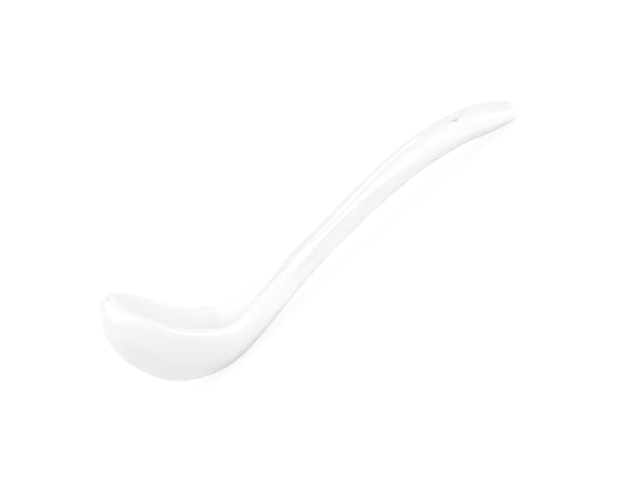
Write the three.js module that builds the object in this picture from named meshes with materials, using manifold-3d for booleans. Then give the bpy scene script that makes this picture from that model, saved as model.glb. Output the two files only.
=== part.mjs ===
// A glazed porcelain spice spoon: a deep oval bowl with a rounded lip, whose hollow runs out along the
// neck, and an arched handle that swells towards a rounded, pierced end. Bowl and handle share one smooth
// skin: a net of points on the surface, rounded by Catmull-Clark subdivision, and cut at the neck where
// the two castings are stuck together with slip. The spoon lies as it does on a table, on the ground foot
// of the bowl and the tip of the handle, with the handle towards +X.

import * as THREE from 'three';
import { mergeVertices } from 'three/addons/utils/BufferGeometryUtils.js';
import Module from 'manifold-3d';

// Sizes are in millimetres and angles in degrees. They are drawn with the bowl level: its lowest point is
// the origin, the handle rises towards +X, and the side line is the line of greatest width, just under
// the lip of the bowl and along the edges of the handle.

// Bowl
const BOWL_WIDTH = 26.4;
const NOSE_REACH = 21.9;
const NOSE_HEIGHT = 22.8;
const NOSE_RISE = -4;
const NOSE_BELLY = 0.9;
const SIDE_HEIGHT = 16.9;
const SIDE_RISE = -12;
const WALL = 3;
const FLOOR = 3;
const LIP_RADIUS = 1.5;

// Root of the handle, where the hollow has run out
const ROOT_REACH = 33;
const ROOT_HEIGHT = 34.9;
const ROOT_RISE = 46;
const ROOT_WIDTH = 9.3;
const ROOT_UNDER = 6.6;
const ROOT_OVER = 0.7;

// Grip, and the tip where the end of the handle starts to round off
const GRIP_WIDTH = 14.4;
const TIP_REACH = 86.5;
const TIP_HEIGHT = 72.7;
const TIP_RISE = 16;
const TIP_TAPER = 3;
const TIP_WIDTH = 13.4;
const TIP_UNDER = 3.6;
const TIP_OVER = 4.5;
const END_REACH = 8.2;

// Hanging hole, its distance measured from the end of the handle
const HOLE_DIAMETER = 4.6;
const HOLE_ROUND = 2;
const HOLE_FROM_END = 17.9;

// Making
const SLIP_JOINT = 0.3;
const FOOT_GRIND = 0.4;

// How the lines bend. A plan power of 2 draws an ellipse and a higher one a squarer oval. A pull is the
// share of a line's length along which it keeps its heading.
const BOWL_PLAN_POWER = 2.5;
const END_PLAN_POWER = 2.3;
const KEEL_PULL = 0.34;
const SIDE_PULL = 0.46;
const CREST_PULL = 0.42;
const HANDLE_PULL = 0.33;

// Half a cross-section has ten points: keel, hull, flank, collar and side on the outside, then lip, edge,
// wall, hollow and crest. These are their angles from the side line on a plain oval.
const HULL_ANGLE = 61;
const FLANK_ANGLE = 34;
const COLLAR_ANGLE = 12;
const LIP_ANGLE = 16;
const EDGE_ANGLE = 30;
const WALL_ANGLE = 46;
const HOLLOW_ANGLE = 68;
const SQUARE = 90;

// The inside of the bowl starts this far below the side line of the hollow, next to the lip.
const EDGE_DIP = 4;

// The net turns the corner to the nose and to the end of the handle in a ring at these bearings. The dips
// are below the side line on the outside and in the hollow, and above it on top of the handle.
const RING_BEARING = 46;
const MIDDLE_BEARING = RING_BEARING / 2;
const RING_OUTSIDE = { keel: 35, hull: 32.5, flank: 23 };
const RING_HOLLOW = { wall: 30, hollow: 44, crest: 48 };
const RING_TOP = { lip: 8, edge: 16, wall: 26, hollow: 37, crest: 40 };

// Rows of the net from the middle of the bowl to the root: the share of the way, and how hollow they are.
const NECK_ROWS = [
  { share: 0.26, hollow: 1 },
  { share: 0.5, hollow: 1 },
  { share: 0.76, hollow: 0.85 },
  { share: 1, hollow: 0.3 },
];
const NARROWS_FROM = 0.17;

// Rows of the net from the root to the tip, as shares of the way.
const WIDEST_AT = 0.85;
const HANDLE_ROWS = [0.3, 0.6, WIDEST_AT, 1];

const FITTING_STEPS = 40;
const HOLE_SIDES = 40;
const ROUND_STEPS = 6;
const CUTTER_SIZE = 300;

const radians = THREE.MathUtils.degToRad;
const sine = (angle) => Math.sin(radians(angle));
const cosine = (angle) => Math.cos(radians(angle));
const { lerp, smoothstep } = THREE.MathUtils;

const UP = new THREE.Vector3(0, 0, 1);
const ORIGIN = new THREE.Vector3();

// A direction in the drawing plane, along the handle, and the one square to it.
const heading = (rise) => new THREE.Vector3(cosine(rise), 0, sine(rise));
const squareTo = (rise) => new THREE.Vector3(-sine(rise), 0, cosine(rise));
const inPlane = (x, z) => new THREE.Vector3(x, 0, z);
const mirrored = (point) => new THREE.Vector3(point.x, -point.y, point.z);
const moved = (point, direction, distance) => point.clone().addScaledVector(direction, distance);

// A line of the side view that leaves its start and reaches its end at the given rises.
function sweep(start, startRise, end, endRise, pull) {
  const reach = pull * start.distanceTo(end);
  const leave = moved(start, heading(startRise), reach);
  const arrive = moved(end, heading(endRise), -reach);
  return new THREE.CubicBezierCurve3(start, leave, arrive, end);
}

// The front of the bowl and the end of the handle are round shells. A direction to a shell is given by
// its bearing from the nose or from the end, and its dip below the side line.
function direction(bearing, dip) {
  return new THREE.Vector3(cosine(bearing) * cosine(dip), sine(bearing) * cosine(dip), -sine(dip));
}

const midway = (from, to) => from.clone().add(to).normalize();

// The shares of a shell's reach and of its half width, in plan, to which one step in a direction leads.
function planShare(toward, power) {
  const oval = (Math.abs(toward.x) ** power + Math.abs(toward.y) ** power) ** (1 / power);
  return 1 / Math.max(oval, Number.EPSILON);
}

// The height of the side line round the front of the bowl. In the side view it is a cubic that leaves the
// nose and reaches the middle of the bowl at their rises.
function sideLevel(toward) {
  const forward = Math.max(0, toward.x) * planShare(toward, BOWL_PLAN_POWER);
  const climb = NOSE_HEIGHT - SIDE_HEIGHT;
  const atSide = -NOSE_REACH * Math.tan(radians(SIDE_RISE));
  const atNose = -NOSE_REACH * Math.tan(radians(NOSE_RISE));
  const square = 3 * climb - 2 * atSide - atNose;
  const cube = atSide + atNose - 2 * climb;
  return SIDE_HEIGHT + forward * (atSide + forward * (square + forward * cube));
}

// The front wall swells out under the lip, most of all at a quarter of the way round to the keel.
function belly(toward) {
  const flat = Math.hypot(toward.x, toward.y);
  const towardsNose = Math.max(0, toward.x) / Math.max(flat, Number.EPSILON);
  const dip = Math.atan2(-toward.z, flat);
  return (NOSE_BELLY / NOSE_REACH) * Math.sin(4 * dip) * towardsNose ** 2;
}

function onBowl(toward, wall, bottom, top) {
  const flat = Math.hypot(toward.x, toward.y);
  const share = planShare(toward, BOWL_PLAN_POWER) * (flat + belly(toward));
  const forward = (NOSE_REACH - wall) * toward.x * share;
  const aside = (BOWL_WIDTH / 2 - wall) * toward.y * share;
  return new THREE.Vector3(-forward, aside, lerp(top, bottom, -toward.z));
}

const LEDGE = 0.4 * LIP_RADIUS;
const outside = (toward) => onBowl(toward, 0, 0, sideLevel(toward));
const inside = (toward) => onBowl(toward, WALL, FLOOR, sideLevel(toward) + LEDGE);

// The crest of the lip, one lip radius in from the side line and one above it.
function lipOver(toward) {
  const outward = new THREE.Vector3(-toward.x / NOSE_REACH, (2 * toward.y) / BOWL_WIDTH, 0).normalize();
  return outside(toward).addScaledVector(outward, -LIP_RADIUS).addScaledVector(UP, LIP_RADIUS);
}

const bowlRow = (outer, inner) => [...outer.map(outside), lipOver(outer.at(-1)), ...inner.map(inside)];

// The three rows of the bowl: the ring round the nose, the middle of the bowl, and one between them.
function bowlRows() {
  const ringOutside = [
    direction(0, RING_OUTSIDE.keel),
    direction(MIDDLE_BEARING, RING_OUTSIDE.hull),
    direction(RING_BEARING, RING_OUTSIDE.flank),
    direction(RING_BEARING, COLLAR_ANGLE),
    direction(RING_BEARING, 0),
  ];
  const ringInside = [
    direction(RING_BEARING, EDGE_DIP),
    direction(RING_BEARING, RING_HOLLOW.wall),
    direction(MIDDLE_BEARING, RING_HOLLOW.hollow),
    direction(0, RING_HOLLOW.crest),
  ];
  const across = (dip) => direction(SQUARE, dip);
  const acrossOutside = [SQUARE, HULL_ANGLE, FLANK_ANGLE, COLLAR_ANGLE, 0].map(across);
  const acrossInside = [EDGE_DIP, WALL_ANGLE, HOLLOW_ANGLE, SQUARE].map(across);
  return [
    bowlRow(ringOutside, ringInside),
    bowlRow(
      ringOutside.map((toward, i) => midway(toward, acrossOutside[i])),
      ringInside.map((toward, i) => midway(toward, acrossInside[i])),
    ),
    bowlRow(acrossOutside, acrossInside),
  ];
}

// A row of the neck or the handle. Where hollow is 1 the lip stands over the hollow, and where it is 0 the
// section is a plain oval.
function handleRow(keel, side, crest, halfWidth, hollow) {
  const up = crest.clone().sub(keel).normalize();
  const ledge = moved(side, up, hollow * LEDGE);
  const placed = (from, to, angle, half) => {
    const point = from.clone().lerp(to, sine(angle));
    point.y = half * cosine(angle);
    return point;
  };
  const inHollow = (angle) => placed(ledge, crest, angle, halfWidth - hollow * WALL);
  const onOval = (end, angle) => placed(side, end, angle, halfWidth);
  const roundLip = moved(onOval(keel, 0), up, LIP_RADIUS);
  roundLip.y -= LIP_RADIUS;
  return [
    keel,
    onOval(keel, HULL_ANGLE),
    onOval(keel, FLANK_ANGLE),
    onOval(keel, COLLAR_ANGLE),
    onOval(keel, 0),
    onOval(crest, LIP_ANGLE).lerp(roundLip, hollow),
    onOval(crest, EDGE_ANGLE).lerp(inHollow(EDGE_DIP), hollow),
    inHollow(WALL_ANGLE),
    inHollow(HOLLOW_ANGLE),
    crest,
  ];
}

// The three lines of the side view, each in two sweeps that meet at the root.
const root = inPlane(ROOT_REACH, ROOT_HEIGHT);
const rootKeel = moved(root, squareTo(ROOT_RISE), -ROOT_UNDER);
const rootCrest = moved(root, squareTo(ROOT_RISE), ROOT_OVER);
const tip = inPlane(TIP_REACH, TIP_HEIGHT);
const tipKeel = moved(tip, squareTo(TIP_RISE), -TIP_UNDER);
const tipCrest = moved(tip, squareTo(TIP_RISE), TIP_OVER);

const neckKeel = sweep(ORIGIN, 0, rootKeel, ROOT_RISE, KEEL_PULL);
const neckSide = sweep(inPlane(0, SIDE_HEIGHT), SIDE_RISE, root, ROOT_RISE, SIDE_PULL);
const neckCrest = sweep(inPlane(0, FLOOR), 0, rootCrest, ROOT_RISE, CREST_PULL);
const handleKeel = sweep(rootKeel, ROOT_RISE, tipKeel, TIP_RISE + TIP_TAPER, HANDLE_PULL);
const handleSide = sweep(root, ROOT_RISE, tip, TIP_RISE, HANDLE_PULL);
const handleCrest = sweep(rootCrest, ROOT_RISE, tipCrest, TIP_RISE - TIP_TAPER, HANDLE_PULL);

function neckRow({ share, hollow }) {
  const [keel, side, crest] = [neckKeel, neckSide, neckCrest].map((line) => line.getPoint(share));
  const width = lerp(BOWL_WIDTH, ROOT_WIDTH, smoothstep(share, NARROWS_FROM, 1));
  return handleRow(keel, side, crest, width / 2, hollow);
}

function gripRow(share) {
  const [keel, side, crest] = [handleKeel, handleSide, handleCrest].map((line) => line.getPoint(share));
  const swelling = smoothstep(share, 0, WIDEST_AT);
  const drawingIn = (Math.max(0, share - WIDEST_AT) / (1 - WIDEST_AT)) ** 2;
  const width = lerp(lerp(ROOT_WIDTH, GRIP_WIDTH, swelling), TIP_WIDTH, drawingIn);
  return handleRow(keel, side, crest, width / 2, 0);
}

// A point on the rounded end of the handle.
function onEnd(bearing, dip) {
  const toward = direction(bearing, dip);
  const share = planShare(toward, END_PLAN_POWER) * cosine(dip);
  const rise = toward.z * (toward.z > 0 ? TIP_OVER : TIP_UNDER);
  const point = moved(tip, heading(TIP_RISE), END_REACH * toward.x * share);
  point.addScaledVector(squareTo(TIP_RISE), rise);
  point.y = (TIP_WIDTH / 2) * toward.y * share;
  return point;
}

function endRow() {
  return [
    onEnd(0, RING_OUTSIDE.keel),
    onEnd(MIDDLE_BEARING, RING_OUTSIDE.hull),
    onEnd(RING_BEARING, RING_OUTSIDE.flank),
    onEnd(RING_BEARING, COLLAR_ANGLE),
    onEnd(RING_BEARING, 0),
    onEnd(RING_BEARING, -RING_TOP.lip),
    onEnd(RING_BEARING, -RING_TOP.edge),
    onEnd(RING_BEARING, -RING_TOP.wall),
    onEnd(MIDDLE_BEARING, -RING_TOP.hollow),
    onEnd(0, -RING_TOP.crest),
  ];
}

// The whole net: rows of 18 points, closed round the nose and over the end of the handle.
function spoonNet() {
  const points = [];
  const quads = [];
  const add = (point) => points.push(point) - 1;
  const strips = (loops) => {
    for (let i = 0; i + 1 < loops.length; i += 1) {
      for (let j = 0; j + 1 < loops[i].length; j += 1) {
        quads.push([loops[i][j], loops[i][j + 1], loops[i + 1][j + 1], loops[i + 1][j]]);
      }
    }
  };
  const halves = [...bowlRows(), ...NECK_ROWS.map(neckRow), ...HANDLE_ROWS.map(gripRow), endRow()];
  const rows = halves.map((half) => [...half, ...half.slice(1, -1).reverse().map(mirrored)].map(add));
  strips(rows.map((row) => [...row, row[0]]));

  // Closes a ring with loops from its flanks to its walls. Each line gives the points between the sides.
  const closing = (ring, lines) => [
    [2, 1, 0, 17, 16].map((place) => ring[place]),
    ...lines.map((line, i) => {
      const middle = [MIDDLE_BEARING, 0, -MIDDLE_BEARING].map((bearing) => add(line(bearing)));
      return [ring[3 + i], ...middle, ring[15 - i]];
    }),
    [7, 8, 9, 10, 11].map((place) => ring[place]),
  ];
  const noseLines = [
    (bearing) => outside(direction(bearing, COLLAR_ANGLE)),
    (bearing) => outside(direction(bearing, 0)),
    (bearing) => lipOver(direction(bearing, 0)),
    (bearing) => inside(direction(bearing, EDGE_DIP)),
  ];
  const endDips = [COLLAR_ANGLE, 0, -RING_TOP.lip, -RING_TOP.edge];
  const endLines = endDips.map((dip) => (bearing) => onEnd(bearing, dip));
  strips(closing(rows[0], noseLines));
  strips(closing(rows.at(-1), endLines).map((loop) => loop.reverse()));
  return { points, quads };
}

// For each point of a net: how many quads meet there, and the sums of its neighbours and of the corners
// across those quads.
function surroundings({ points, quads }) {
  const found = points.map(() => ({ quads: 0, near: new THREE.Vector3(), across: new THREE.Vector3() }));
  for (const quad of quads) {
    quad.forEach((corner, i) => {
      const around = found[corner];
      around.quads += 1;
      around.near.addScaledVector(points[quad[(i + 1) % 4]], 0.5);
      around.near.addScaledVector(points[quad[(i + 3) % 4]], 0.5);
      around.across.add(points[quad[(i + 2) % 4]]);
    });
  }
  return found;
}

// Where endless subdivision would bring each point of a net.
function settled(net) {
  return surroundings(net).map(({ quads: n, near, across }, i) => {
    const sum = net.points[i].clone().multiplyScalar(n * n).addScaledVector(near, 4).add(across);
    return sum.divideScalar(n * (n + 5));
  });
}

// Moves a net's points out until its smooth surface passes through the points it was drawn with.
function fitted(net) {
  const control = { points: net.points.map((point) => point.clone()), quads: net.quads };
  for (let step = 0; step < FITTING_STEPS; step += 1) {
    settled(control).forEach((point, i) => control.points[i].add(net.points[i]).sub(point));
  }
  return control;
}

// One step of Catmull-Clark subdivision.
function subdivided(net) {
  const { points, quads } = net;
  const middles = quads.map((quad) => {
    const sum = quad.reduce((total, corner) => total.add(points[corner]), new THREE.Vector3());
    return sum.divideScalar(4);
  });
  const middleSums = points.map(() => new THREE.Vector3());
  const edges = new Map();
  quads.forEach((quad, q) => {
    quad.forEach((corner, i) => {
      middleSums[corner].add(middles[q]);
      const key = [corner, quad[(i + 1) % 4]].sort((a, b) => a - b).join();
      if (!edges.has(key)) {
        const ends = points[corner].clone().add(points[quad[(i + 1) % 4]]);
        edges.set(key, { index: points.length + edges.size, sum: ends });
      }
      edges.get(key).sum.add(middles[q]);
    });
  });
  const corners = surroundings(net).map(({ quads: n, near }, i) => {
    const sum = points[i].clone().multiplyScalar(n - 2).addScaledVector(near, 1 / n);
    return sum.addScaledVector(middleSums[i], 1 / n).divideScalar(n);
  });
  const edgePoints = [...edges.values()].map(({ sum }) => sum.divideScalar(4));
  const firstMiddle = corners.length + edgePoints.length;
  const edgeOf = (a, b) => edges.get([a, b].sort((x, y) => x - y).join()).index;
  const smaller = quads.flatMap((quad, q) =>
    quad.map((corner, i) => [
      corner, edgeOf(corner, quad[(i + 1) % 4]), firstMiddle + q, edgeOf(corner, quad[(i + 3) % 4]),
    ]),
  );
  return { points: [...corners, ...edgePoints, ...middles], quads: smaller };
}

function skin() {
  const net = subdivided(subdivided(fitted(spoonNet())));
  const geometry = new THREE.BufferGeometry().setFromPoints(settled(net));
  geometry.setIndex(net.quads.flatMap(([a, b, c, d]) => [a, b, c, a, c, d]));
  return geometry;
}

// Solids to cut, and the cut solids back as geometry.
const wasm = await Module();
wasm.setup();

function solidOf(geometry) {
  const bare = geometry.clone();
  bare.deleteAttribute('normal');
  bare.deleteAttribute('uv');
  const merged = mergeVertices(bare);
  const vertProperties = new Float32Array(merged.attributes.position.array);
  const triVerts = new Uint32Array(merged.index.array);
  return new wasm.Manifold(new wasm.Mesh({ numProp: 3, vertProperties, triVerts }));
}

function geometryOf(solid) {
  const { vertProperties, triVerts } = solid.getMesh();
  const geometry = new THREE.BufferGeometry();
  geometry.setAttribute('position', new THREE.BufferAttribute(vertProperties, 3));
  geometry.setIndex(new THREE.BufferAttribute(triVerts, 1));
  geometry.computeVertexNormals();
  return geometry;
}

// A block that fills everything on one side of a plane, seen along the plane's outward direction.
function blockBeyond(point, outward) {
  const block = new THREE.BoxGeometry(CUTTER_SIZE, CUTTER_SIZE, CUTTER_SIZE);
  block.applyQuaternion(new THREE.Quaternion().setFromUnitVectors(UP, outward));
  const centre = moved(point, outward, CUTTER_SIZE / 2);
  return solidOf(block.translate(centre.x, centre.y, centre.z));
}

// The tool for the hanging hole: a bore that flares to both faces of the handle, so that its rims are
// rounded. It stands square to the handle where the crest is the right distance from its end.
function holeTool() {
  const end = moved(tip, heading(TIP_RISE), END_REACH);
  const fromEnd = (share) => handleCrest.getPoint(share).distanceTo(end);
  let [near, far] = [0, 1];
  while (far - near > 1e-6) {
    const middle = (near + far) / 2;
    [near, far] = fromEnd(middle) > HOLE_FROM_END ? [middle, far] : [near, middle];
  }
  const crest = handleCrest.getPoint(near);
  const keel = handleKeel.getPoint(near);
  const axis = crest.clone().sub(keel).normalize();
  const halfDepth = crest.distanceTo(keel) / 2;
  const mouth = HOLE_DIAMETER / 2 + HOLE_ROUND;
  const top = halfDepth + 2 * HOLE_ROUND;
  const rim = [];
  for (let i = 0; i <= ROUND_STEPS; i += 1) {
    const angle = (SQUARE * i) / ROUND_STEPS;
    rim.push(new THREE.Vector2(
      mouth - HOLE_ROUND * cosine(angle),
      halfDepth - HOLE_ROUND + HOLE_ROUND * sine(angle),
    ));
  }
  const upper = [...rim, new THREE.Vector2(mouth, top), new THREE.Vector2(0, top)];
  const lower = upper.map(({ x, y }) => new THREE.Vector2(x, -y)).reverse();
  const tool = new THREE.LatheGeometry([...lower, ...upper], HOLE_SIDES);
  const centre = crest.clone().add(keel).divideScalar(2);
  tool.applyQuaternion(new THREE.Quaternion().setFromUnitVectors(new THREE.Vector3(0, 1, 0), axis));
  return solidOf(tool.translate(centre.x, centre.y, centre.z));
}

// The longest edge under a side view's outline, which is the line that the spoon comes to rest on.
function restingEdge(geometry) {
  const { position } = geometry.attributes;
  const place = (_, i) => inPlane(position.getX(i), position.getZ(i));
  const places = Array.from({ length: position.count }, place);
  places.sort((a, b) => a.x - b.x || a.z - b.z);
  const hull = [];
  for (const next of places) {
    while (hull.length > 1) {
      const back = hull.at(-1).clone().sub(hull.at(-2));
      const ahead = next.clone().sub(hull.at(-1));
      if (back.x * ahead.z - back.z * ahead.x > 0) break;
      hull.pop();
    }
    hull.push(next);
  }
  const edges = hull.slice(1).map((end, i) => ({ start: hull[i], end }));
  return edges.reduce((longest, edge) =>
    edge.start.distanceTo(edge.end) > longest.start.distanceTo(longest.end) ? edge : longest,
  );
}

const whole = skin();
const pierced = solidOf(whole).subtract(holeTool());

// The table's plane: it takes a flat off the bowl and touches the tip.
const { start: underBowl, end: underTip } = restingEdge(whole);
const lean = Math.atan2(underTip.z - underBowl.z, underTip.x - underBowl.x);
const foot = moved(underBowl, squareTo(THREE.MathUtils.radToDeg(lean)), FOOT_GRIND);
const along = underTip.clone().sub(foot);
const layingAngle = Math.atan2(along.z, along.x);
const belowTable = squareTo(THREE.MathUtils.radToDeg(layingAngle)).negate();

// The slip joint parts the castings square to the root of the handle.
const towardsTip = heading(ROOT_RISE);
const handleSideOfJoint = blockBeyond(moved(root, towardsTip, -SLIP_JOINT / 2), towardsTip);
const bowlSideOfJoint = blockBeyond(moved(root, towardsTip, SLIP_JOINT / 2), towardsTip.clone().negate());

function porcelain() {
  return new THREE.MeshStandardMaterial({ color: 0xf3f3f0, roughness: 0.12, metalness: 0 });
}

function casting(name, solid) {
  const mesh = new THREE.Mesh(geometryOf(solid), porcelain());
  mesh.name = name;
  return mesh;
}

const bowl = casting('bowl', pierced.subtract(handleSideOfJoint).subtract(blockBeyond(foot, belowTable)));
const handle = casting('handle', pierced.subtract(bowlSideOfJoint));

// Laid on the table, with the origin under the middle of the spoon.
const laid = new THREE.Group();
laid.add(bowl, handle);
laid.rotation.y = layingAngle;
const box = new THREE.Box3().setFromObject(laid, true);
laid.position.set(-(box.min.x + box.max.x) / 2, 0, -box.min.z);

const spoon = new THREE.Group();
spoon.name = 'spice_spoon';
spoon.add(laid);

export default spoon;
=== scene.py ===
from math import atan2, cos, hypot, pi, radians, sin, sqrt, tan

import bmesh
import bpy
import numpy as np
from mathutils import Matrix, Vector


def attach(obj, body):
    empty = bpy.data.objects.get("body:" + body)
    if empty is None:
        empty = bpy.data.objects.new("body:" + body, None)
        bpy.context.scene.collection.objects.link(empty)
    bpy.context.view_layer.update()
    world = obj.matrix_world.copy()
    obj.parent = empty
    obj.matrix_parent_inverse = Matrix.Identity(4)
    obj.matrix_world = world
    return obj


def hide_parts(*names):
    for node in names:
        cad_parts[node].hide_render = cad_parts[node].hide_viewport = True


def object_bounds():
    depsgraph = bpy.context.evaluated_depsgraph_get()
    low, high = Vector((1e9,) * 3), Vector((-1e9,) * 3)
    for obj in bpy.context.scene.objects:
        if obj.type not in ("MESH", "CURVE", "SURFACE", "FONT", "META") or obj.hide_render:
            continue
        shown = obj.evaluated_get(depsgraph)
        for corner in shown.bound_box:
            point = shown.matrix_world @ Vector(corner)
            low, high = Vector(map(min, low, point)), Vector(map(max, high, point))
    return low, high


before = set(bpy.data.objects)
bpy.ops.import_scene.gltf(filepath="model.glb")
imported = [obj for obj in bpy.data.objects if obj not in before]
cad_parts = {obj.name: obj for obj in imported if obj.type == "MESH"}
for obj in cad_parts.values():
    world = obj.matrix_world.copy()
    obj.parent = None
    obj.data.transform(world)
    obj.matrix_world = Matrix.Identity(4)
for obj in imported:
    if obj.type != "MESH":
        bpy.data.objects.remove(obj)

cad_low, cad_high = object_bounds()


# The bowl
# A deep oval bowl of cast porcelain, higher at the nose than at the sides, with a rounded lip. It is drawn
# in millimetres and degrees, with the bowl level, its lowest point at the origin and the nose towards -X.
BOWL_WIDTH = 26.4
NOSE_REACH = 21.9
NOSE_HEIGHT = 22.8
NOSE_RISE = -4
NOSE_BELLY = 0.9
SIDE_HEIGHT = 16.9
SIDE_RISE = -12
WALL = 3.0
FLOOR = 3.0
LIP_RADIUS = 1.5
LEDGE = 0.4 * LIP_RADIUS
BOWL_PLAN_POWER = 2.5
LEAST_LENGTH = 1e-12

# Angles of a cross-section's points from its side line, the line of greatest width.
KEEL = 90
HULL = 61
FLANK = 34
COLLAR = 12
SIDE = 0
EDGE_DIP = 4
WALL_DIP = 46
HOLLOW_DIP = 68

# The ring where the net turns the corner to the nose, as bearings from it and dips below the side line.
CORNER = 46
MIDDLE = CORNER / 2
RING_OUTSIDE = ((0, 35), (MIDDLE, 32.5), (CORNER, 23), (CORNER, COLLAR), (CORNER, SIDE))
RING_HOLLOW = ((CORNER, EDGE_DIP), (CORNER, 30), (MIDDLE, 44), (0, 48))


def direction(bearing, dip):
    bearing, dip = radians(bearing), radians(dip)
    return np.array((cos(bearing) * cos(dip), sin(bearing) * cos(dip), -sin(dip)))


def plan_share(toward, power):
    """The shares of an oval plan's reach and half width to which one step in a direction leads."""
    oval = (abs(toward[0]) ** power + abs(toward[1]) ** power) ** (1 / power)
    return 1 / max(oval, LEAST_LENGTH)


def side_level(toward):
    """The height of the side line round the front, a cubic with the rises of the nose and the middle."""
    forward = max(0, toward[0]) * plan_share(toward, BOWL_PLAN_POWER)
    climb = NOSE_HEIGHT - SIDE_HEIGHT
    at_side = -NOSE_REACH * tan(radians(SIDE_RISE))
    at_nose = -NOSE_REACH * tan(radians(NOSE_RISE))
    square = 3 * climb - 2 * at_side - at_nose
    cube = at_side + at_nose - 2 * climb
    return SIDE_HEIGHT + forward * (at_side + forward * (square + forward * cube))


def belly(toward):
    """How far, as a share of its reach, the front wall swells under the lip and draws in lower down."""
    flat = hypot(toward[0], toward[1])
    towards_nose = max(0, toward[0]) / max(flat, LEAST_LENGTH)
    return NOSE_BELLY / NOSE_REACH * sin(4 * atan2(-toward[2], flat)) * towards_nose**2


def on_bowl(toward, wall, bottom, top):
    flat = hypot(toward[0], toward[1])
    share = plan_share(toward, BOWL_PLAN_POWER) * (flat + belly(toward))
    forward = (NOSE_REACH - wall) * toward[0] * share
    aside = (BOWL_WIDTH / 2 - wall) * toward[1] * share
    return np.array((-forward, aside, top - (bottom - top) * toward[2]))


def outside(toward):
    return on_bowl(toward, 0, 0, side_level(toward))


def in_hollow(toward):
    return on_bowl(toward, WALL, FLOOR, side_level(toward) + LEDGE)


def over_lip(toward):
    """The crest of the lip, one lip radius in from the side line and one above it."""
    outward = np.array((-toward[0] / NOSE_REACH, 2 * toward[1] / BOWL_WIDTH, 0))
    outward = outward / np.linalg.norm(outward)
    return outside(toward) + LIP_RADIUS * (np.array((0, 0, 1)) - outward)


def bowl_row(outer, inner):
    return [*map(outside, outer), over_lip(outer[-1]), *map(in_hollow, inner)]


def between(toward, other):
    return (toward + other) / np.linalg.norm(toward + other)


nose_outside = [direction(*place) for place in RING_OUTSIDE]
nose_hollow = [direction(*place) for place in RING_HOLLOW]
across_outside = [direction(90, dip) for dip in (KEEL, HULL, FLANK, COLLAR, SIDE)]
across_hollow = [direction(90, dip) for dip in (EDGE_DIP, WALL_DIP, HOLLOW_DIP, KEEL)]
bowl_rows = [
    bowl_row(nose_outside, nose_hollow),
    bowl_row(
        list(map(between, nose_outside, across_outside)),
        list(map(between, nose_hollow, across_hollow)),
    ),
    bowl_row(across_outside, across_hollow),
]


# The neck and the handle
# The bowl's hollow runs out along its neck, which is fullest a little below the lip. The handle is a second
# casting, stuck to the neck with slip. It arches up, swells towards its end and rounds off.
ROOT_REACH = 33.0
ROOT_HEIGHT = 34.9
ROOT_RISE = 46
ROOT_WIDTH = 9.3
ROOT_UNDER = 6.6
ROOT_OVER = 0.7
GRIP_WIDTH = 14.4
TIP_REACH = 86.5
TIP_HEIGHT = 72.7
TIP_RISE = 16
TIP_TAPER = 3
TIP_WIDTH = 13.4
TIP_UNDER = 3.6
TIP_OVER = 4.5
END_REACH = 8.2
END_PLAN_POWER = 2.3

# Three lines of the side view, the keel, the side and the crest, carry the sections. These are the shares
# of a line's length along which it keeps its heading.
KEEL_PULL = 0.34
SIDE_PULL = 0.46
CREST_PULL = 0.42
HANDLE_PULL = 0.33

# The rows of the neck, as shares of the way to the root, how hollow each still is, and how far below its
# lip it is widest.
NECK_ROWS = ((0.26, 1, 0.5), (0.5, 1, 1.3), (0.76, 0.85, 1.9), (1, 0.3, 1.0))
NARROWS_FROM = 0.17
WIDEST_AT = 0.85
HANDLE_ROWS = (0.3, 0.6)
LIP_ANGLE = 16
EDGE_ANGLE = 30

# The ring where the net turns over the end of the handle, as bearings and dips. A dip above is negative.
RING_TOP = ((CORNER, -8), (CORNER, -16), (CORNER, -26), (MIDDLE, -37), (0, -40))


def heading(rise):
    return np.array((cos(radians(rise)), 0, sin(radians(rise))))


def square_to(rise):
    return np.array((-sin(radians(rise)), 0, cos(radians(rise))))


def sweep(start, start_rise, end, end_rise, pull):
    """The four points of a curve that leaves its start and reaches its end at the given rises."""
    reach = pull * np.linalg.norm(end - start)
    return start, start + reach * heading(start_rise), end - reach * heading(end_rise), end


def along(line, share):
    start, leave, arrive, end = line
    rest = 1 - share
    bend = 3 * rest * rest * share * leave + 3 * rest * share * share * arrive
    return rest**3 * start + bend + share**3 * end


def ease(share, start, end):
    share = min(max((share - start) / (end - start), 0.0), 1.0)
    return share * share * (3 - 2 * share)


root = np.array((ROOT_REACH, 0, ROOT_HEIGHT))
root_keel = root - ROOT_UNDER * square_to(ROOT_RISE)
root_crest = root + ROOT_OVER * square_to(ROOT_RISE)
tip = np.array((TIP_REACH, 0, TIP_HEIGHT))
tip_keel = tip - TIP_UNDER * square_to(TIP_RISE)
tip_crest = tip + TIP_OVER * square_to(TIP_RISE)
bowl_keel, bowl_side, bowl_crest = (np.array((0, 0, level)) for level in (0, SIDE_HEIGHT, FLOOR))

neck_lines = (
    sweep(bowl_keel, 0, root_keel, ROOT_RISE, KEEL_PULL),
    sweep(bowl_side, SIDE_RISE, root, ROOT_RISE, SIDE_PULL),
    sweep(bowl_crest, 0, root_crest, ROOT_RISE, CREST_PULL),
)
handle_keel = sweep(root_keel, ROOT_RISE, tip_keel, TIP_RISE + TIP_TAPER, HANDLE_PULL)
handle_side = sweep(root, ROOT_RISE, tip, TIP_RISE, HANDLE_PULL)
handle_crest = sweep(root_crest, ROOT_RISE, tip_crest, TIP_RISE - TIP_TAPER, HANDLE_PULL)


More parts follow.
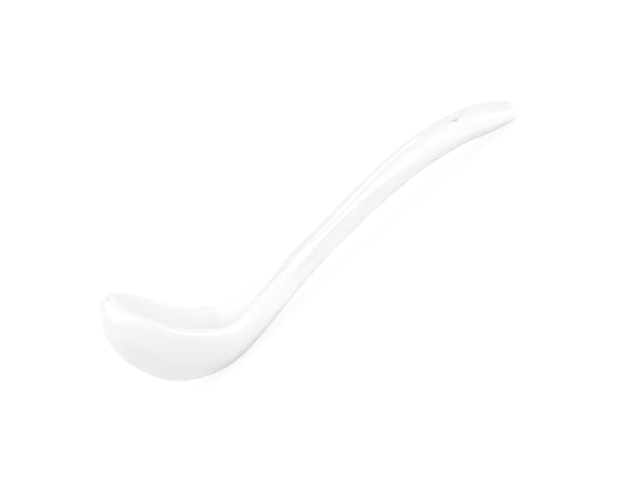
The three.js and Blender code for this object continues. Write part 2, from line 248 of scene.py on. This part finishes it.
def section_row(keel, side, crest, half, hollow=0, sag=0):
    """Half a cross-section: ten points from the keel, 0, by way of the lip, 5, to the crest, 9.

    It is a plain oval where hollow is 0 and a lip over a hollow where it is 1. Its outside is widest one
    sag below the side line."""
    up = (crest - keel) / np.linalg.norm(crest - keel)
    ledge = side + hollow * LEDGE * up
    widest = side - sag * up

    def placed(start, end, angle, width):
        point = start + sin(radians(angle)) * (end - start)
        return point + np.array((0, width * cos(radians(angle)), 0))

    def on_oval(end, angle):
        return placed(side, end, angle, half)

    def hollowed(angle):
        return placed(ledge, crest, angle, half - hollow * WALL)

    round_lip = on_oval(keel, 0) + LIP_RADIUS * (up - np.array((0, 1, 0)))
    return [
        *(placed(widest, keel, angle, half) for angle in (KEEL, HULL, FLANK, COLLAR, SIDE)),
        on_oval(crest, LIP_ANGLE) * (1 - hollow) + round_lip * hollow,
        on_oval(crest, EDGE_ANGLE) * (1 - hollow) + hollowed(EDGE_DIP) * hollow,
        *(hollowed(angle) for angle in (WALL_DIP, HOLLOW_DIP, KEEL)),
    ]


def neck_row(share, hollow, sag):
    keel, side, crest = (along(line, share) for line in neck_lines)
    width = BOWL_WIDTH + (ROOT_WIDTH - BOWL_WIDTH) * ease(share, NARROWS_FROM, 1)
    return section_row(keel, side, crest, width / 2, hollow, sag)


def handle_width(share):
    swollen = ROOT_WIDTH + (GRIP_WIDTH - ROOT_WIDTH) * ease(share, 0, WIDEST_AT)
    drawn_in = max(0, (share - WIDEST_AT) / (1 - WIDEST_AT)) ** 2
    return swollen + (TIP_WIDTH - swollen) * drawn_in


def handle_row(share):
    keel, side, crest = (along(line, share) for line in (handle_keel, handle_side, handle_crest))
    return section_row(keel, side, crest, handle_width(share) / 2)


def on_end(bearing, dip):
    """A point on the rounded end of the handle."""
    toward = direction(bearing, dip)
    share = plan_share(toward, END_PLAN_POWER) * cos(radians(dip))
    rise = toward[2] * (TIP_OVER if toward[2] > 0 else TIP_UNDER)
    aside = np.array((0, TIP_WIDTH / 2 * toward[1] * share, 0))
    return tip + END_REACH * toward[0] * share * heading(TIP_RISE) + rise * square_to(TIP_RISE) + aside


# The hanging hole
# A round hole is bored through the handle near its end while the clay is leather hard, and a wet sponge
# rounds both rims. The net opens to rings of eight points, which run from the crest down to the keel.
HOLE_DIAMETER = 4.6
HOLE_ROUND = 2.0
HOLE_FROM_END = 17.9
MOUTH_RADIUS = HOLE_DIAMETER / 2 + HOLE_ROUND
RIM_TURNS = (45, 90)
SHARE_PRECISION = 1e-6

end_of_handle = tip + END_REACH * heading(TIP_RISE)
hole_share, beyond_hole = 0.0, 1.0
while beyond_hole - hole_share > SHARE_PRECISION:
    middle_share = (hole_share + beyond_hole) / 2
    if np.linalg.norm(along(handle_crest, middle_share) - end_of_handle) > HOLE_FROM_END:
        hole_share = middle_share
    else:
        beyond_hole = middle_share

hole_crest = along(handle_crest, hole_share)
hole_keel = along(handle_keel, hole_share)
hole_axis = (hole_crest - hole_keel) / np.linalg.norm(hole_crest - hole_keel)


def share_past_hole(line, distance):
    """How far along the handle a point lies that is this many millimetres past the hole on a line."""
    step = 0.01
    pace = np.linalg.norm(along(line, hole_share + step) - along(line, hole_share - step)) / (2 * step)
    return hole_share + distance / pace


def mouth_point(line, bearing):
    """A point of the hole's mouth, on the crest or the keel, at a bearing from the handle's end."""
    share = share_past_hole(line, MOUTH_RADIUS * cos(radians(bearing)))
    aside = MOUTH_RADIUS * sin(radians(bearing))
    side = along(handle_side, share)
    lift = sqrt(1 - (2 * aside / handle_width(share)) ** 2)
    return side + lift * (along(line, share) - side) + np.array((0, aside, 0))


def hole_row(place):
    """A row of the net beside the hole, before it (-1), across it (0) or past it (1)."""
    row = handle_row(share_past_hole(handle_side, place * MOUTH_RADIUS))
    corner_bearing = 90 - 45 * place
    row[1] = mouth_point(handle_keel, corner_bearing)
    row[8] = mouth_point(handle_crest, corner_bearing)
    if place:
        row[0] = mouth_point(handle_keel, 90 - 90 * place)
        row[9] = mouth_point(handle_crest, 90 - 90 * place)
    return row


def rim_point(mouth, turn, inward):
    """A point of the rounded rim, a quarter turn from the mouth down to the bore."""
    level = np.dot(mouth - hole_keel, hole_axis)
    on_axis = hole_keel + level * hole_axis
    out = (mouth - on_axis) / np.linalg.norm(mouth - on_axis)
    radius = MOUTH_RADIUS - HOLE_ROUND * sin(radians(turn))
    return on_axis + radius * out + HOLE_ROUND * (1 - cos(radians(turn))) * inward


# The cast skin
# Bowl, neck, handle and hole are one net of points that the finished surface passes through, because the
# slip between the two castings is smoothed away before they are glazed.
ROUNDING_LEVEL = 4

net_points = []
net_pooling = []
net_faces = []


def add_point(point, pooling=0.0):
    net_points.append(point)
    net_pooling.append(pooling)
    return len(net_points) - 1


def add_strips(loops, skipped=()):
    """Faces between neighbouring loops of points, apart from those skipped."""
    for place, (loop, following) in enumerate(zip(loops, loops[1:])):
        for step in range(len(loop) - 1):
            if (place, step) not in skipped:
                net_faces.append((loop[step], loop[step + 1], following[step + 1], following[step]))


def add_ring(half, hollow):
    """A full cross-section: half of one, and points 10 to 17 down the other side to the keel again.

    Glaze pools on the last four points of the half where it is hollow."""
    pooling = [0.0] * 6 + [hollow] * 4
    ring = [add_point(point, pool) for point, pool in zip(half, pooling)]
    other = [add_point(point * (1, -1, 1), pool) for point, pool in zip(half[-2:0:-1], pooling[-2:0:-1])]
    return ring + other


def add_closing(ring, lines, pooling):
    """Loops that close a ring from its flanks to its walls, with three points between on each line."""
    loops = [[ring[place] for place in (2, 1, 0, 17, 16)]]
    for step, line in enumerate(lines):
        middle = [add_point(line(bearing), pooling[step]) for bearing in (MIDDLE, 0, -MIDDLE)]
        loops.append([ring[3 + step], *middle, ring[15 - step]])
    loops.append([ring[place] for place in (7, 8, 9, 10, 11)])
    return loops


end_row = [on_end(*place) for place in (*RING_OUTSIDE, *RING_TOP)]
rings = [add_ring(row, 1) for row in bowl_rows]
rings += [add_ring(neck_row(share, hollow, sag), hollow) for share, hollow, sag in NECK_ROWS]
rings += [add_ring(handle_row(share), 0) for share in HANDLE_ROWS]
first_hole_ring = len(rings)
rings += [add_ring(hole_row(place), 0) for place in (-1, 0, 1)]
rings += [add_ring(handle_row(1), 0), add_ring(end_row, 0)]

hole_faces = {(first_hole_ring + row, column) for row in (0, 1) for column in (0, 8, 9, 17)}
add_strips([[*ring, ring[0]] for ring in rings], hole_faces)
add_strips(add_closing(rings[0], (
    lambda bearing: outside(direction(bearing, COLLAR)),
    lambda bearing: outside(direction(bearing, SIDE)),
    lambda bearing: over_lip(direction(bearing, SIDE)),
    lambda bearing: in_hollow(direction(bearing, EDGE_DIP)),
), (0, 0, 0, 1)))
add_strips(add_closing(rings[-1], [
    lambda bearing, dip=dip: on_end(bearing, dip) for dip in (COLLAR, SIDE, RING_TOP[0][1], RING_TOP[1][1])
], (0, 0, 0, 0)))

before, across, past = rings[first_hole_ring:first_hole_ring + 3]
top_mouth = [before[8], before[9], before[10], across[10], past[10], past[9], past[8], across[8]]
under_mouth = [before[1], before[0], before[17], across[17], past[17], past[0], past[1], across[1]]
top_rim = [
    [add_point(rim_point(net_points[place], turn, -hole_axis)) for place in top_mouth]
    for turn in RIM_TURNS
]
under_rim = [
    [add_point(rim_point(net_points[place], turn, hole_axis)) for place in under_mouth]
    for turn in reversed(RIM_TURNS)
]
bore = [
    add_point((net_points[above] + net_points[below]) / 2)
    for above, below in zip(top_rim[-1], under_rim[0])
]
add_strips([[*loop, loop[0]] for loop in (top_mouth, *top_rim, bore, *under_rim, under_mouth)])

skin_mesh = bpy.data.meshes.new("spoon_net")
skin_mesh.from_pydata([tuple(point) for point in net_points], [], net_faces)
skin_mesh.attributes.new("pooling", "FLOAT", "POINT").data.foreach_set("value", net_pooling)
net = bmesh.new()
net.from_mesh(skin_mesh)
bmesh.ops.delete(net, geom=[vert for vert in net.verts if not vert.link_faces], context="VERTS")
bmesh.ops.recalc_face_normals(net, faces=net.faces)
net.verts.ensure_lookup_table()

# The net's points move out until the rounded surface passes through the points that it was drawn with. A
# place on that surface is a mean of a net point, its neighbours and the far corners of its faces.
weights = np.zeros((len(net.verts), len(net.verts)))
for vert in net.verts:
    faces = len(vert.link_faces)
    weights[vert.index, vert.index] = faces**2
    for edge in vert.link_edges:
        weights[vert.index, edge.other_vert(vert).index] = 4
    for loop in vert.link_loops:
        weights[vert.index, loop.link_loop_next.link_loop_next.vert.index] = 1
    weights[vert.index] /= faces * (faces + 5)
drawn = np.array([vert.co for vert in net.verts])
for vert, place in zip(net.verts, np.linalg.solve(weights, drawn)):
    vert.co = place
net.to_mesh(skin_mesh)
net.free()


# The glaze
# Clear glaze over a white body, poured on and fired to a gloss. It lies in slow waves, is thicker and a
# little cooler in colour where it pools in the hollow, and has a skin of tiny ripples.
WAVE_LENGTH = 11.0
WAVE_HEIGHT = 0.02
BODY_WHITE = (0.915, 0.911, 0.902, 1)
BODY_SHADE = (0.905, 0.902, 0.893, 1)
POOLED_WHITE = (0.905, 0.911, 0.91, 1)
BARE_CLAY = (0.8, 0.77, 0.71, 1)
CLOUD_SIZE = 0.02
RIPPLE_SIZE = 0.0006
RIPPLE_HEIGHT = 0.000002
GLOSS = (0.05, 0.09)
BARE_ROUGHNESS = 0.8
GLAZE_IOR = 1.5


def add_node(tree, kind, inputs=None, **settings):
    """A node with its settings, and each of its inputs joined to a socket or set to a value."""
    made = tree.nodes.new(kind)
    for name, value in settings.items():
        setattr(made, name, value)
    for name, value in (inputs or {}).items():
        if isinstance(value, bpy.types.NodeSocket):
            tree.links.new(value, made.inputs[name])
        else:
            made.inputs[name].default_value = value
    return made


def mixed(tree, factor, first, second):
    """A colour between two others."""
    return add_node(tree, "ShaderNodeMix", {0: factor, 6: first, 7: second}, data_type="RGBA").outputs[2]


glaze = bpy.data.materials.new("porcelain_glaze")
glaze.use_nodes = True
shader_tree = glaze.node_tree
shader_tree.nodes.clear()
coordinates = add_node(shader_tree, "ShaderNodeTexCoord").outputs["Object"]
clouds = add_node(shader_tree, "ShaderNodeTexNoise", {
    "Vector": coordinates, "Scale": 1 / CLOUD_SIZE, "Detail": 3})
ripples = add_node(shader_tree, "ShaderNodeTexNoise", {
    "Vector": coordinates, "Scale": 1 / RIPPLE_SIZE, "Detail": 2})
pooled = add_node(shader_tree, "ShaderNodeAttribute", attribute_name="pooling").outputs["Fac"]
bare = add_node(shader_tree, "ShaderNodeAttribute", attribute_name="bare").outputs["Fac"]
body = mixed(shader_tree, clouds.outputs["Fac"], BODY_WHITE, BODY_SHADE)
glazed = mixed(shader_tree, pooled, body, POOLED_WHITE)
gloss = add_node(shader_tree, "ShaderNodeMapRange", {
    "Value": clouds.outputs["Fac"], "To Min": GLOSS[0], "To Max": GLOSS[1]})
roughness = add_node(shader_tree, "ShaderNodeMix", {0: bare, 2: gloss.outputs[0], 3: BARE_ROUGHNESS})
rippled = add_node(shader_tree, "ShaderNodeBump", {
    "Height": ripples.outputs["Fac"], "Strength": 1, "Distance": RIPPLE_HEIGHT})
surface = add_node(shader_tree, "ShaderNodeBsdfPrincipled", {
    "Base Color": mixed(shader_tree, bare, glazed, BARE_CLAY),
    "Roughness": roughness.outputs[0],
    "IOR": GLAZE_IOR,
    "Normal": rippled.outputs["Normal"],
})
add_node(shader_tree, "ShaderNodeOutputMaterial", {"Surface": surface.outputs["BSDF"]})

glazing = bpy.data.node_groups.new("glazed_skin", "GeometryNodeTree")
glazing_inputs = {
    name: glazing.interface.new_socket(name, in_out="INPUT", socket_type=kind)
    for name, kind in (
        ("Net", "NodeSocketGeometry"),
        ("Rounding level", "NodeSocketInt"),
        ("Wave length", "NodeSocketFloat"),
        ("Wave height", "NodeSocketFloat"),
        ("Glaze", "NodeSocketMaterial"),
    )
}
glazing.interface.new_socket("Skin", in_out="OUTPUT", socket_type="NodeSocketGeometry")
given = add_node(glazing, "NodeGroupInput").outputs
rounded = add_node(glazing, "GeometryNodeSubdivisionSurface", {
    "Mesh": given["Net"], "Level": given["Rounding level"], "Limit Surface": True})
position = add_node(glazing, "GeometryNodeInputPosition").outputs[0]
in_waves = add_node(glazing, "ShaderNodeVectorMath", {
    0: position, 1: given["Wave length"]}, operation="DIVIDE")
waves = add_node(glazing, "ShaderNodeTexNoise", {
    "Vector": in_waves.outputs[0], "Scale": 1, "Detail": 0}, normalize=False)
lift = add_node(glazing, "ShaderNodeMath", {
    0: waves.outputs["Fac"], 1: given["Wave height"]}, operation="MULTIPLY")
outward = add_node(glazing, "GeometryNodeInputNormal").outputs[0]
offset = add_node(glazing, "ShaderNodeVectorMath", {
    0: outward, "Scale": lift.outputs[0]}, operation="SCALE")
waved = add_node(glazing, "GeometryNodeSetPosition", {
    "Geometry": rounded.outputs[0], "Offset": offset.outputs[0]})
smooth = add_node(glazing, "GeometryNodeSetShadeSmooth", {"Geometry": waved.outputs[0]})
realized = add_node(glazing, "GeometryNodeRealizeInstances", {"Geometry": smooth.outputs[0]})
coated = add_node(glazing, "GeometryNodeSetMaterial", {
    "Geometry": realized.outputs[0], "Material": given["Glaze"]})
add_node(glazing, "NodeGroupOutput", {0: coated.outputs[0]})

spoon = bpy.data.objects.new("porcelain_spoon", skin_mesh)
bpy.context.scene.collection.objects.link(spoon)
glazer = spoon.modifiers.new("glazing", "NODES")
glazer.node_group = glazing
for name, value in (
    ("Rounding level", ROUNDING_LEVEL),
    ("Wave length", WAVE_LENGTH),
    ("Wave height", WAVE_HEIGHT),
    ("Glaze", glaze),
):
    glazer[glazing_inputs[name].identifier] = value
finished = spoon.evaluated_get(bpy.context.evaluated_depsgraph_get())
spoon.data = bpy.data.meshes.new_from_object(finished)
spoon.modifiers.remove(glazer)


# The ground foot
# The spoon lies on the belly of the bowl and the tip of the handle. Where the bowl stood in the kiln it is
# ground flat, which leaves a small spot of bare clay.
FOOT_GRIND = 0.4
MILLIMETRE = 0.001

corners = np.empty(3 * len(spoon.data.vertices))
spoon.data.vertices.foreach_get("co", corners)
# A string drawn tight under the spoon, as seen from the side. Its longest straight is the table's line.
underline = []
for x, _, z in sorted(map(tuple, corners.reshape(-1, 3))):
    while len(underline) > 1:
        (x0, z0), (x1, z1) = underline[-2:]
        if (x1 - x0) * (z - z1) > (z1 - z0) * (x - x1):
            break
        underline.pop()
    underline.append((x, z))
(bowl_x, bowl_z), (tip_x, tip_z) = max(
    zip(underline, underline[1:]), key=lambda edge: edge[1][0] - edge[0][0])
lean = atan2(tip_z - bowl_z, tip_x - bowl_x)
foot_x = bowl_x - FOOT_GRIND * sin(lean)
foot_z = bowl_z + FOOT_GRIND * cos(lean)
turn = Matrix.Rotation(atan2(tip_z - foot_z, tip_x - foot_x), 4, "Y")
scaled = Matrix.Scale(MILLIMETRE, 4) @ turn
spoon.data.transform(scaled)
reach = [vert.co.x for vert in spoon.data.vertices]
laid_tip = scaled @ Vector((tip_x, 0, tip_z))
shift = Matrix.Translation((
    (cad_low.x + cad_high.x) / 2 - (min(reach) + max(reach)) / 2, 0, cad_low.z - laid_tip.z))
spoon.data.transform(shift)
laid = shift @ scaled

skin = bmesh.new()
skin.from_mesh(spoon.data)
bare_layer = skin.faces.layers.float.new("bare")
bowl_side_parts = [
    part for part in (*skin.verts, *skin.edges, *skin.faces)
    if all(vert.co.x < 0 for vert in getattr(part, "verts", (part,)))
]
cut = bmesh.ops.bisect_plane(
    skin, geom=bowl_side_parts, plane_co=(0, 0, cad_low.z), plane_no=(0, 0, 1), clear_inner=True,
)["geom_cut"]
rim = [part for part in cut if isinstance(part, bmesh.types.BMEdge)]
for edge in rim:
    edge.smooth = False
for face in bmesh.ops.edgeloop_fill(skin, edges=rim)["faces"]:
    face[bare_layer] = 1
bmesh.ops.recalc_face_normals(skin, faces=skin.faces)
skin.to_mesh(spoon.data)
skin.free()

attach(spoon, "root")
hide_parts("bowl", "handle")


# The table
# A plain white sheet under the spoon. The camera and reflections see it as the same white as the room
# behind, apart from the spoon's own soft shadow.
TABLE_SIZE = 6.0
TABLE_WHITE = (0.92, 0.92, 0.92, 1)
SHADOW_SHARE = 0.15
# The share of full light from which the open sheet shows as pure white.
OPEN_LIGHT = 0.8


def seen_directly(tree):
    """1 for rays from the camera, from reflections and through glass, 0 for light between things."""
    rays = add_node(tree, "ShaderNodeLightPath").outputs
    seen = rays["Is Camera Ray"]
    for kind in ("Is Glossy Ray", "Is Transmission Ray"):
        seen = add_node(tree, "ShaderNodeMath", {0: seen, 1: rays[kind]}, operation="MAXIMUM").outputs[0]
    return seen


sheet = bpy.data.materials.new("white_sheet")
sheet.use_nodes = True
sheet_tree = sheet.node_tree
sheet_tree.nodes.clear()
paper = add_node(sheet_tree, "ShaderNodeBsdfDiffuse", {"Color": TABLE_WHITE})
shaded = add_node(sheet_tree, "ShaderNodeBsdfDiffuse", {"Color": (SHADOW_SHARE,) * 3 + (1,)})
glow = add_node(sheet_tree, "ShaderNodeEmission", {"Strength": 1 - SHADOW_SHARE * OPEN_LIGHT})
bright = add_node(sheet_tree, "ShaderNodeAddShader", {0: shaded.outputs[0], 1: glow.outputs[0]})
shown = add_node(sheet_tree, "ShaderNodeMixShader", {
    0: seen_directly(sheet_tree), 1: paper.outputs[0], 2: bright.outputs[0]})
add_node(sheet_tree, "ShaderNodeOutputMaterial", {"Surface": shown.outputs[0]})

half_table = TABLE_SIZE / 2
table_mesh = bpy.data.meshes.new("table")
table_mesh.from_pydata(
    [(-half_table, -half_table, cad_low.z), (half_table, -half_table, cad_low.z),
     (half_table, half_table, cad_low.z), (-half_table, half_table, cad_low.z)],
    [], [(0, 1, 2, 3)])
table_mesh.materials.append(sheet)
table = bpy.data.objects.new("table", table_mesh)
bpy.context.scene.collection.objects.link(table)


# The studio
# A white room with softboxes close round the spoon, which light it evenly, and white cards that are only
# mirrored in the glaze, on the nose, in the hollow, on the crest and on the tip. None is in the picture.
ROOM_LIGHT = 0.2
STAND_DISTANCE = 0.7
# For each softbox and card: its bearing round the spoon and its height, in degrees, its width and height in
# metres, and how many times brighter than white paper it is.
SOFTBOXES = {
    "zenith_softbox": (0, 90, 0.9, 0.9, 0.57),
    "nose_softbox": (-166, 59, 0.5, 0.4, 4.0),
    "side_softbox": (-45, 10, 0.6, 0.3, 4.8),
    "back_softbox": (70, 12, 0.9, 0.26, 3.4),
    "left_softbox": (-165, 18, 0.5, 0.3, 1.45),
}
CARDS = {
    "nose_card": (-136, 29.5, 0.97, 0.185, 4.5),
    "hollow_card": (-135, 50, 0.9, 0.3, 1.5),
    "crest_card": (100, 38, 0.36, 0.14, 1.4),
    "tip_card": (-37, 20, 0.2, 0.4, 4.0),
}

world = bpy.data.worlds.new("white_room")
world.use_nodes = True
room_tree = world.node_tree
room_tree.nodes.clear()
ambient = add_node(room_tree, "ShaderNodeBackground", {"Color": (1, 1, 1, 1), "Strength": ROOM_LIGHT})
backdrop = add_node(room_tree, "ShaderNodeBackground", {"Color": (1, 1, 1, 1), "Strength": 1})
room = add_node(room_tree, "ShaderNodeMixShader", {
    0: seen_directly(room_tree), 1: ambient.outputs[0], 2: backdrop.outputs[0]})
add_node(room_tree, "ShaderNodeOutputWorld", {"Surface": room.outputs[0]})
bpy.context.scene.world = world
bpy.context.scene.view_settings.view_transform = "Standard"

middle_of_spoon = (cad_low + cad_high) / 2
for name, (bearing, rise, width, height, brightness) in (SOFTBOXES | CARDS).items():
    light = bpy.data.lights.new(name, "AREA")
    light.shape = "RECTANGLE"
    light.size, light.size_y = width, height
    light.energy = brightness * pi * width * height
    lamp = bpy.data.objects.new(name, light)
    lamp.visible_camera = False
    lamp.visible_glossy = name in CARDS
    lamp.visible_diffuse = name in SOFTBOXES
    away = Vector(direction(bearing, -rise))
    stand = Matrix.Translation(middle_of_spoon + STAND_DISTANCE * away)
    lamp.matrix_world = stand @ away.to_track_quat("Z", "Y").to_matrix().to_4x4()
    bpy.context.scene.collection.objects.link(lamp)


# The camera
# It looks at the level bowl from the front and a little above, so it leans over with the spoon as it lies.
# Its place is given in the millimetres and degrees that the bowl is drawn in.
VIEW_BEARING = -7.5
VIEW_RISE = 15.0
VIEW_DISTANCE = 1000.0
VIEW_AIM = (36.2, 0, 39.1)
PIXELS_ACROSS = 617
MILLIMETRES_PER_PIXEL = 0.279
SENSOR_WIDTH = 36.0

back = Vector(direction(VIEW_BEARING - 90, -VIEW_RISE))
right = Vector(direction(VIEW_BEARING, 0))
axes = Matrix((right, back.cross(right), back)).transposed()
lens = bpy.data.cameras.new("camera")
lens.sensor_fit = "HORIZONTAL"
lens.sensor_width = SENSOR_WIDTH
lens.lens = SENSOR_WIDTH * VIEW_DISTANCE / (PIXELS_ACROSS * MILLIMETRES_PER_PIXEL)
camera = bpy.data.objects.new("camera", lens)
bpy.context.scene.collection.objects.link(camera)
eye = laid @ (Vector(VIEW_AIM) + VIEW_DISTANCE * back)
camera.matrix_world = Matrix.Translation(eye) @ turn @ axes.to_4x4()
bpy.context.scene.camera = camera
